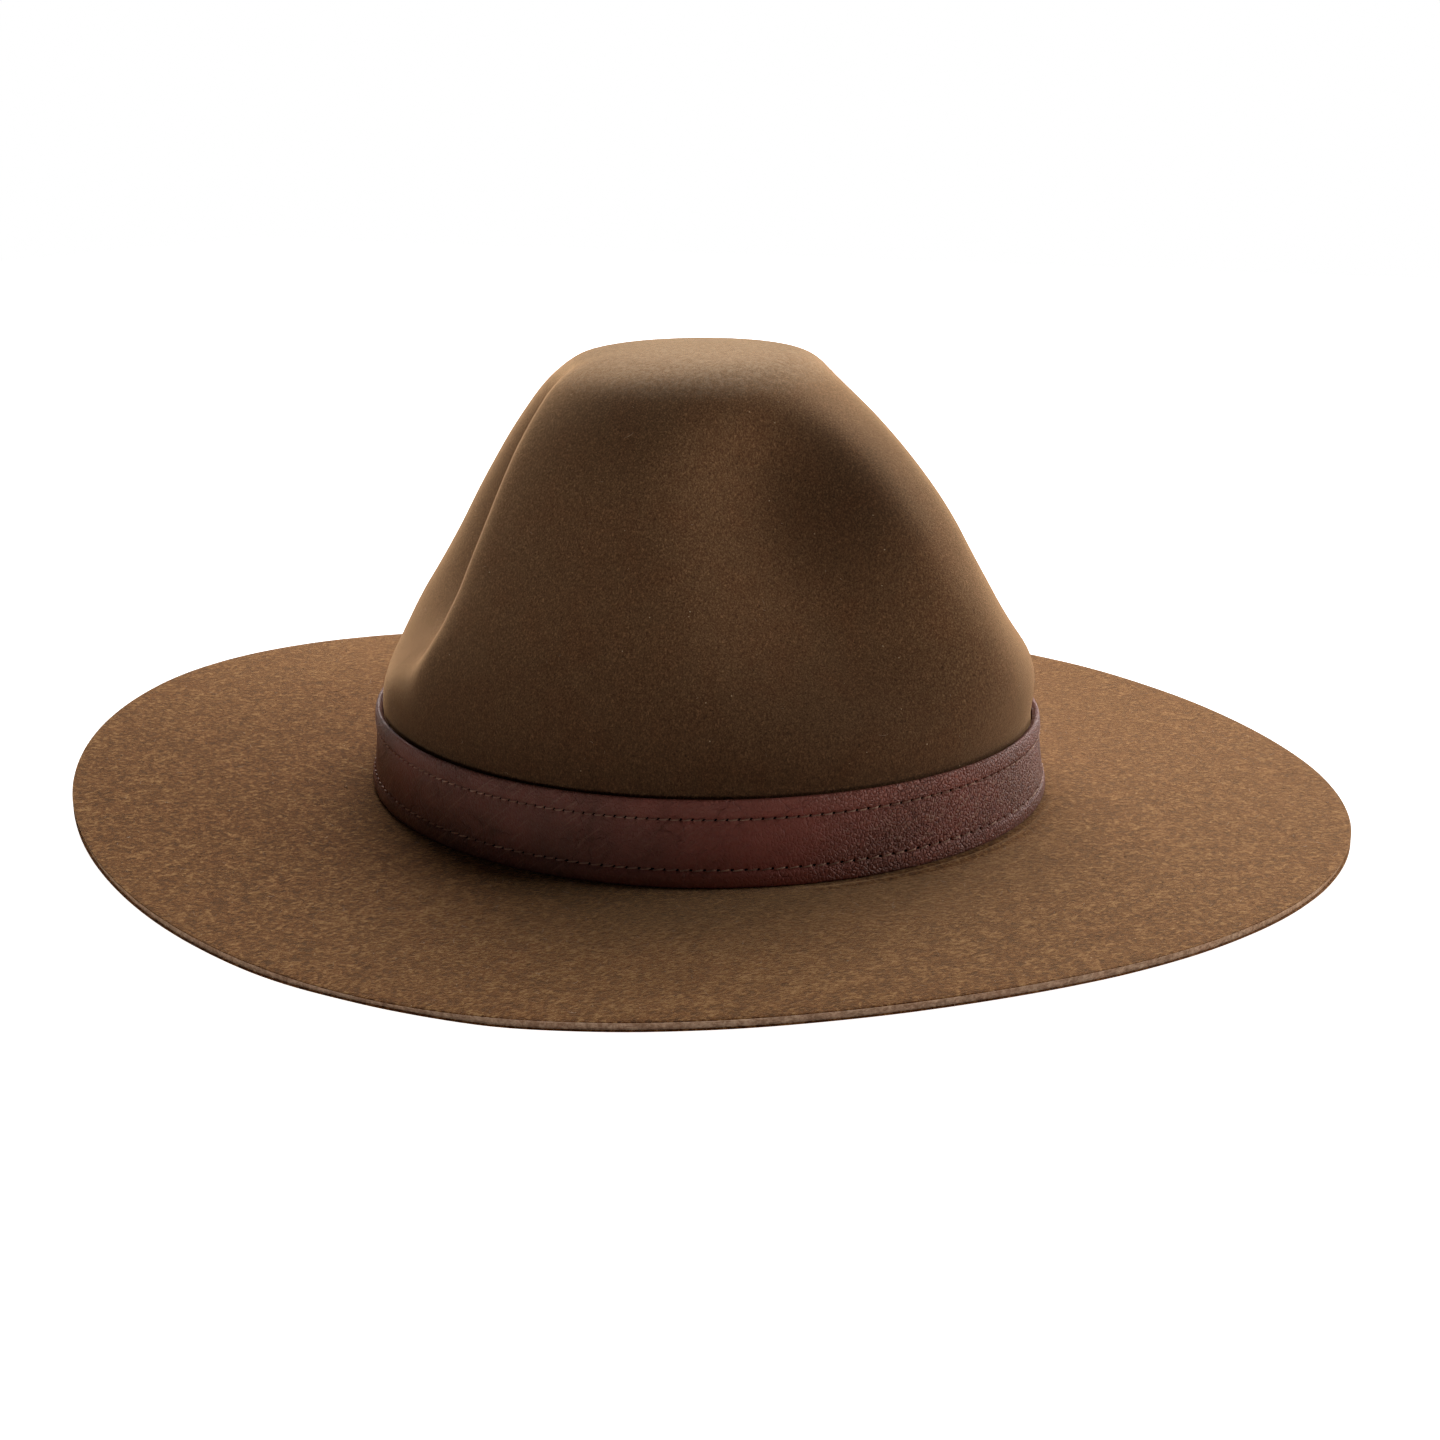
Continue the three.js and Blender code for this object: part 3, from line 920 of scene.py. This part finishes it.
def sew(name, stitches, share, band, material):
    """Copies one stitch round the band, between the holes of one row."""
    stitch = make_stitch(stitches)
    points = values(band.data, "vertices", "co", 3)
    angles, bottom, top = round_band(points)
    box_low, box_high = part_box("hat_band")
    middle = (box_low + box_high) / 2
    tree = BVHTree.FromPolygons(
        [tuple(p) for p in points.tolist()], [tuple(f.vertices) for f in band.data.polygons])
    order = np.argsort(angles)
    copies = []
    for index in range(stitches):
        angle = (index + 0.5) * TURN / stitches - math.pi + COLUMN
        out = Vector((math.sin(angle), -math.cos(angle), 0))
        low = np.interp(angle, angles[order], bottom[order], period=TURN)
        high = np.interp(angle, angles[order], top[order], period=TURN)
        height = low + share * (high - low)
        start = Vector((middle.x, middle.y, height)) + out * OUTSIDE_BAND
        found, normal, _, _ = tree.ray_cast(start, -out)
        along = Vector((math.cos(angle), math.sin(angle), 0))
        side = normal.cross(along).normalized()
        along = side.cross(normal)
        turn = Matrix((along, side, normal)).transposed()
        turn = turn @ Matrix.Rotation(STITCH_SLANT, 3, "Z")
        copy = bpy.data.objects.new(name, stitch.data.copy())
        copy.data.transform(Matrix.Translation(found) @ turn.to_4x4())
        bpy.context.scene.collection.objects.link(copy)
        copies.append(copy)
    row = join_copies(copies, name, material)
    bpy.data.objects.remove(stitch)
    finish_piece(row, "dark_leather")


# Loose fibres

def bend_fibre(plain, length, bow, lift):
    """Points of one fibre: tapered to both ends, bowed sideways, and lifted at its far end."""
    shape = plain.copy()
    run = shape[:, 0].copy()
    taper = 1 - FIBRE_TAPER * np.abs(2 * run)
    shape[:, 0] = run * length
    shape[:, 1] = shape[:, 1] * taper * FIBRE_THICK + bow * (0.25 - run ** 2) * 2
    shape[:, 2] = shape[:, 2] * taper * FIBRE_THICK + lift * (run + 0.5) ** 2
    return shape


def make_fibres(felt):
    """Short loose wool fibres lying on the felt's outer face, most of them on the brim."""
    draw = random.Random(FIBRE_SEED)
    fibre = make_rod(FIBRE_SIDES, radius=1, length=1)
    plain = values(fibre.data, "vertices", "co", 3)
    centres = values(felt.data, "polygons", "center", 3)
    normals = values(felt.data, "polygons", "normal", 3)
    areas = values(felt.data, "polygons", "area", 1).astype(float)
    outer = (normals[:, 2] > FIBRE_FACING_UP) & (centres[:, 2] > FIBRE_ABOVE)
    areas[~outer] = 0
    areas[centres[:, 2] > CROWN_FROM] *= CROWN_FIBRES
    total = np.cumsum(areas)
    copies = []
    for _ in range(FIBRES):
        face = int(np.searchsorted(total, draw.random() * total[-1]))
        normal = Vector(normals[face])
        length = FIBRE_SHORT + (FIBRE_LONG - FIBRE_SHORT) * draw.random() ** FIBRE_LONG_RARE
        bow = draw.uniform(-FIBRE_BOW, FIBRE_BOW) * length
        lift = draw.uniform(*FIBRE_LIFT) * min(length, FIBRE_LIFT_MOST)
        across = normal.orthogonal().normalized()
        turn = Matrix((across, normal.cross(across), normal)).transposed()
        turn = turn @ Matrix.Rotation(draw.uniform(0, TURN), 3, "Z")
        copy = bpy.data.objects.new("loose_wool_fibres", fibre.data.copy())
        copy.data.vertices.foreach_set("co", bend_fibre(plain, length, bow, lift).ravel())
        copy.data.transform(Matrix.Translation(Vector(centres[face])) @ turn.to_4x4())
        bpy.context.scene.collection.objects.link(copy)
        copies.append(copy)
    tuft = join_copies(copies, "loose_wool_fibres", fibre_material("loose wool fibre"))
    bpy.data.objects.remove(fibre)
    finish_piece(tuft, "brown_felt")


# Studio

def seen_by_camera(tree, unseen, seen):
    """One strength for what the camera sees of a glow, and another for what lights the hat."""
    ray = add(tree, "ShaderNodeLightPath").outputs["Is Camera Ray"]
    return fade(tree, ray, 0.0, 1.0, unseen, seen)


def make_floor():
    bpy.ops.object.select_all(action="DESELECT")
    bpy.ops.mesh.primitive_plane_add(size=FLOOR_SIZE)
    floor = bpy.context.object
    floor.name = "studio_floor"
    material, tree = start_material("matt white paper")
    end_material(tree, {
        "Base Color": linear("#e8e8e8"), "Roughness": 0.9, "Emission Color": (1, 1, 1, 1),
        "Emission Strength": seen_by_camera(tree, FLOOR_LIGHT, FLOOR_GLOW)})
    floor.data.materials.append(material)


def make_soft_box(name, place, size, power):
    away = Vector((AIM.x - EYE.x, AIM.y - EYE.y, 0)).normalized()
    right = Vector((away.y, -away.x, 0))
    light = bpy.data.lights.new(name, "AREA")
    light.shape = "RECTANGLE"
    light.size, light.size_y = size
    light.energy = power
    lamp = bpy.data.objects.new(name, light)
    lamp.location = right * place[0] + away * place[1] + Vector((0, 0, place[2]))
    lamp.rotation_euler = (LAMP_AIM - lamp.location).to_track_quat("-Z", "Y").to_euler()
    bpy.context.scene.collection.objects.link(lamp)


def make_studio():
    world = bpy.data.worlds.new("white studio")
    bpy.context.scene.world = world
    world.use_nodes = True
    tree = world.node_tree
    tree.nodes.clear()
    back = add(tree, "ShaderNodeBackground", None,
               {"Color": (1, 1, 1, 1), "Strength": seen_by_camera(tree, WORLD_LIGHT, 1.0)})
    add(tree, "ShaderNodeOutputWorld", None, {"Surface": back.outputs["Background"]})
    make_floor()
    for soft_box in SOFT_BOXES:
        make_soft_box(*soft_box)


def make_camera():
    lens = bpy.data.cameras.new("photo_camera")
    lens.lens = LENS
    lens.sensor_width = SENSOR
    lens.sensor_fit = "HORIZONTAL"
    camera = bpy.data.objects.new("photo_camera", lens)
    ahead = (AIM - EYE).normalized()
    right = ahead.cross(Vector((0, 0, 1))).normalized()
    up = right.cross(ahead)
    side = math.cos(ROLL) * right + math.sin(ROLL) * up
    top = side.cross(ahead)
    turn = Matrix((side, top, -ahead)).transposed()
    camera.matrix_world = Matrix.Translation(EYE) @ turn.to_4x4()
    bpy.context.scene.collection.objects.link(camera)
    bpy.context.scene.camera = camera


make_camera()
felt_piece = make_felt()
band_piece = make_band()
thread = thread_material("waxed polyester thread")
sew("upper_stitches", UPPER_STITCHES, UPPER_ROW, band_piece, thread)
sew("lower_stitches", LOWER_STITCHES, LOWER_ROW, band_piece, thread)
make_fibres(felt_piece)
make_studio()
bpy.context.scene.view_settings.view_transform = "Standard"
